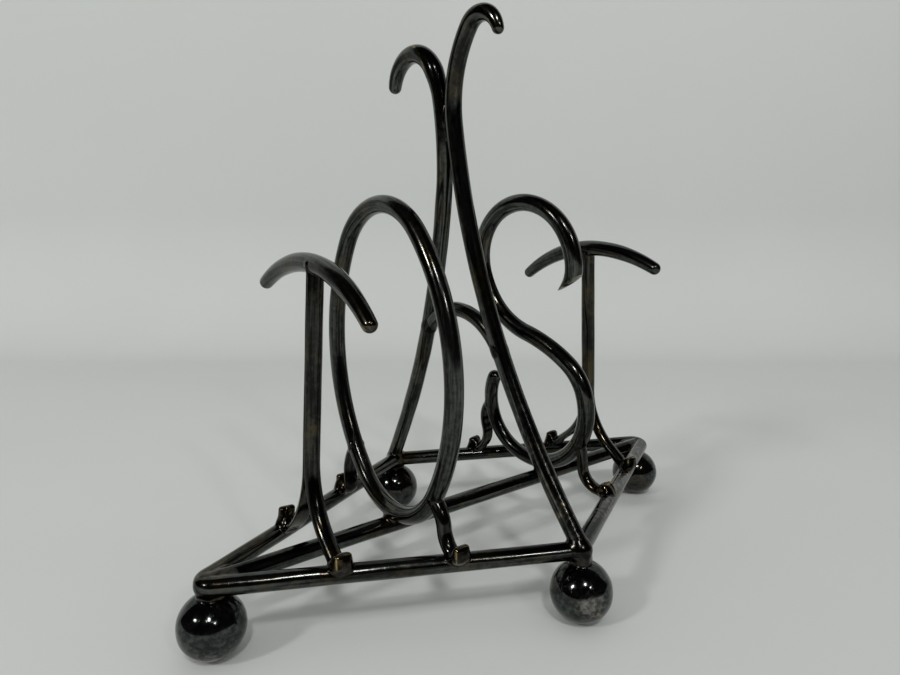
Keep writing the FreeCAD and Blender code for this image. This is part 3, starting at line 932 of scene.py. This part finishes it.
# the two or three wires that a joint holds, its reach and how wide its solder flows
JOINTS = [(("a_leg_left", "a_leg_right"), 9.0, 1.6)]
JOINTS += [((post + "_crossbar", post + "_upright_right", post + "_upright_left"), 4.6, 1.6)
           for post in ("first_t", "last_t")]
for side in SIDES:
    JOINTS += [(("a_crossbar", "a_leg_" + side), 4.4, 2.0),
               (("o_foot_" + side, "o_ring"), 4.4, 1.2),
               (("s_foot_" + side, "s_wire"), 4.4, 1.2)]
for held, reach, flow in JOINTS:
    members = [wires[name] for name in held]
    solder("solder_" + "_".join(held[:2]), closest(*members[:2]), reach, flow, members)
for name, wire in wires.items():
    if wire.strip:
        toe = Toe(wire)
        rail = wires["base_rail_" + ("first_t" if name[0] in "fo" else "last_t")]
        solder("toe_" + name, toe.centre, TOE_REACH, TOE_FLOW, [toe, wire.body, rail])

# ---------------------------------------------------------------- stage, lights, camera
FLOOR_HALF = 1.6           # in metres, as all that follows
SWEEP_FROM = 0.26
SWEEP_R = 0.10
WALL_TOP = 0.9
SWEEP_TURN = 5             # degrees between the rows of its bend
CARD_PALE = (0.60, 0.614, 0.603)
CARD_SHADE = (0.57, 0.586, 0.574)
CARD_CLOUDS = 3.0          # patches of shade to the metre
CARD_RANGE = (0.3, 0.7)
CARD_ROUGH = 0.75
CARD_SHEEN = 0.25
ROOM = (0.50, 0.51, 0.501)
ROOM_MIRRORED = (0.022, 0.022, 0.021)   # the dark room that shiny wire reflects
CAMERA_AT = (-0.11453, -0.13609, 0.09361)
CAMERA_YAW = 38.017
CAMERA_PITCH = 9.927
CAMERA_ROLL = 0.03
CAMERA_LENS = 26.879
CAMERA_NEAR = 0.01
LAMP_AWAY = 1.6
LAMP_TINT = (1.0, 0.99, 0.97)
LAMPS = [((-0.83, -0.05, 0.56), 0.18, 6.5),     # direction, size and watts
         ((-0.35, -0.57, 0.74), 0.15, 5.8),
         ((-0.10, -0.81, 0.57), 0.09, 1.8)]


def sweep_card():
    """Floor that curves up into a wall behind the object, as the camera sees it."""
    profile = [(-FLOOR_HALF, 0.0), (SWEEP_FROM, 0.0)]
    profile += [(SWEEP_FROM + SWEEP_R * math.sin(a), SWEEP_R * (1 - math.cos(a)))
                for a in np.radians(np.arange(SWEEP_TURN, 91, SWEEP_TURN))]
    profile.append((SWEEP_FROM + SWEEP_R, WALL_TOP))
    yaw = math.radians(CAMERA_YAW)
    ahead = Vector((math.sin(yaw), math.cos(yaw), 0))
    right = Vector((math.cos(yaw), -math.sin(yaw), 0))
    points = [ahead * out + right * side * FLOOR_HALF + Vector((0, 0, up))
              for out, up in profile for side in (-1, 1)]
    faces = [(2 * row, 2 * row + 1, 2 * row + 3, 2 * row + 2)
             for row in range(len(profile) - 1)]
    mesh = bpy.data.meshes.new("card")
    mesh.from_pydata(points, [], faces)
    mesh.shade_smooth()
    mesh.materials.append(backdrop("card", CARD_PALE, CARD_SHADE))
    card = bpy.data.objects.new("card", mesh)
    bpy.context.collection.objects.link(card)


sweep_card()
for index, (direction, size, power) in enumerate(LAMPS):
    light = bpy.data.lights.new(f"lamp_{index}", "AREA")
    light.shape, light.size, light.energy, light.color = "DISK", size, power, LAMP_TINT
    lamp = bpy.data.objects.new(light.name, light)
    lamp.location = Vector(direction).normalized() * LAMP_AWAY
    lamp.rotation_euler = Vector(direction).to_track_quat("Z", "Y").to_euler()
    bpy.context.collection.objects.link(lamp)

world = bpy.data.worlds.new("room")
world.use_nodes = True
sky = world.node_tree
sky.nodes.clear()
mirrored = put(sky, "LightPath").outputs["Is Glossy Ray"]
tone = mix(sky, mirrored, ROOM, ROOM_MIRRORED)
ground = put(sky, "Background", {"Color": tone, "Strength": 1.0})
sky.links.new(ground.outputs[0], put(sky, "OutputWorld").inputs["Surface"])
bpy.context.scene.world = world
bpy.context.scene.view_settings.view_transform = "Standard"

yaw, pitch = math.radians(CAMERA_YAW), math.radians(CAMERA_PITCH)
forward = Vector((math.sin(yaw) * math.cos(pitch), math.cos(yaw) * math.cos(pitch),
                  -math.sin(pitch)))
camera = bpy.data.objects.new("camera", bpy.data.cameras.new("camera"))
camera.location = CAMERA_AT
look = forward.to_track_quat("-Z", "Y").to_matrix().to_4x4()
roll = Matrix.Rotation(math.radians(CAMERA_ROLL), 4, "Z")
camera.rotation_euler = (look @ roll).to_euler()
camera.data.lens = CAMERA_LENS
camera.data.clip_start = CAMERA_NEAR
bpy.context.collection.objects.link(camera)
bpy.context.scene.camera = camera
